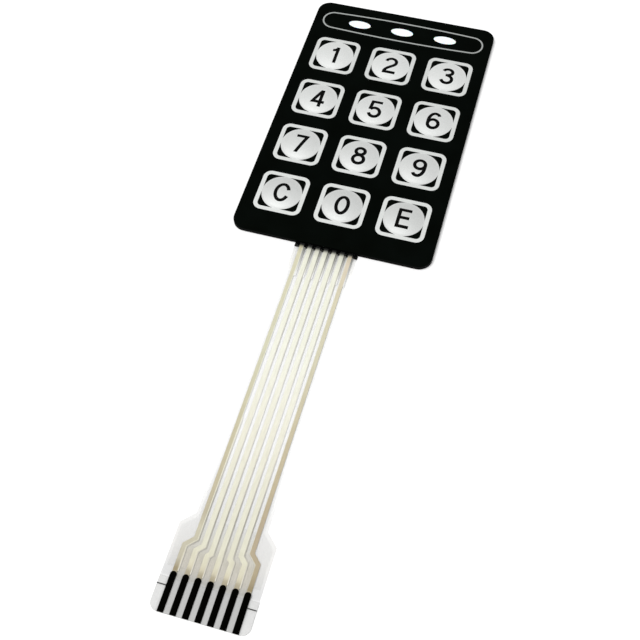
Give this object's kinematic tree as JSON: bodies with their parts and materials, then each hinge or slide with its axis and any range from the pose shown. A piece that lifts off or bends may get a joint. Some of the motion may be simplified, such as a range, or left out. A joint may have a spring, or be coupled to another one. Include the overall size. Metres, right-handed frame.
{
  "type": "membrane keypad",
  "caption": "Flat laminated membrane keypad with raised round keys, oval indicator windows and a printed flexible tail that ends in contact fingers.",
  "frame": {"origin": "middle of the head's rear face, which is the face that goes on a panel", "axes": "+Z out of the keys' face, +Y along the part from the tail towards the windows, +X to the right of the keys"},
  "size_m": [0.048, 0.167, 0.0014],
  "materials": {
    "overlay_film": "fine matte texture",
    "silver_print": "satin screen print",
    "grey_print": "satin screen print",
    "white_lens": "translucent white",
    "adhesive": "black acrylic adhesive",
    "spacer_film": "black film",
    "dome_steel": "rolled spring steel",
    "insulation_ink": "printed insulation",
    "conductor_ink": "printed conductor",
    "circuit_film": "clear film",
    "cover_film": "clear film",
    "carbon_ink": "printed carbon",
    "mark_ink": "printed line",
    "stiffener_film": "milky film",
    "liner_paper": "siliconised paper"
  },
  "bodies": {
    "root": {"graphic_overlay": "overlay_film", "key_frames": "silver_print", "key_discs": "silver_print", "window_border": "grey_print", "window_lenses": "white_lens", "overlay_adhesive": "adhesive", "dome_spacer": "spacer_film", "snap_domes": "dome_steel", "jumper_insulation": "insulation_ink", "row_line_1": "conductor_ink", "row_line_2": "conductor_ink", "row_line_3": "conductor_ink", "row_line_4": "conductor_ink", "column_line_1": "conductor_ink", "column_line_2": "conductor_ink", "column_line_3": "conductor_ink", "circuit_film": "circuit_film", "tail_cover": "cover_film", "contact_fingers": "carbon_ink", "insertion_marks": "mark_ink", "tail_stiffener": "stiffener_film", "mounting_adhesive": "adhesive", "release_liner": "liner_paper"}
  },
  "joints": []
}
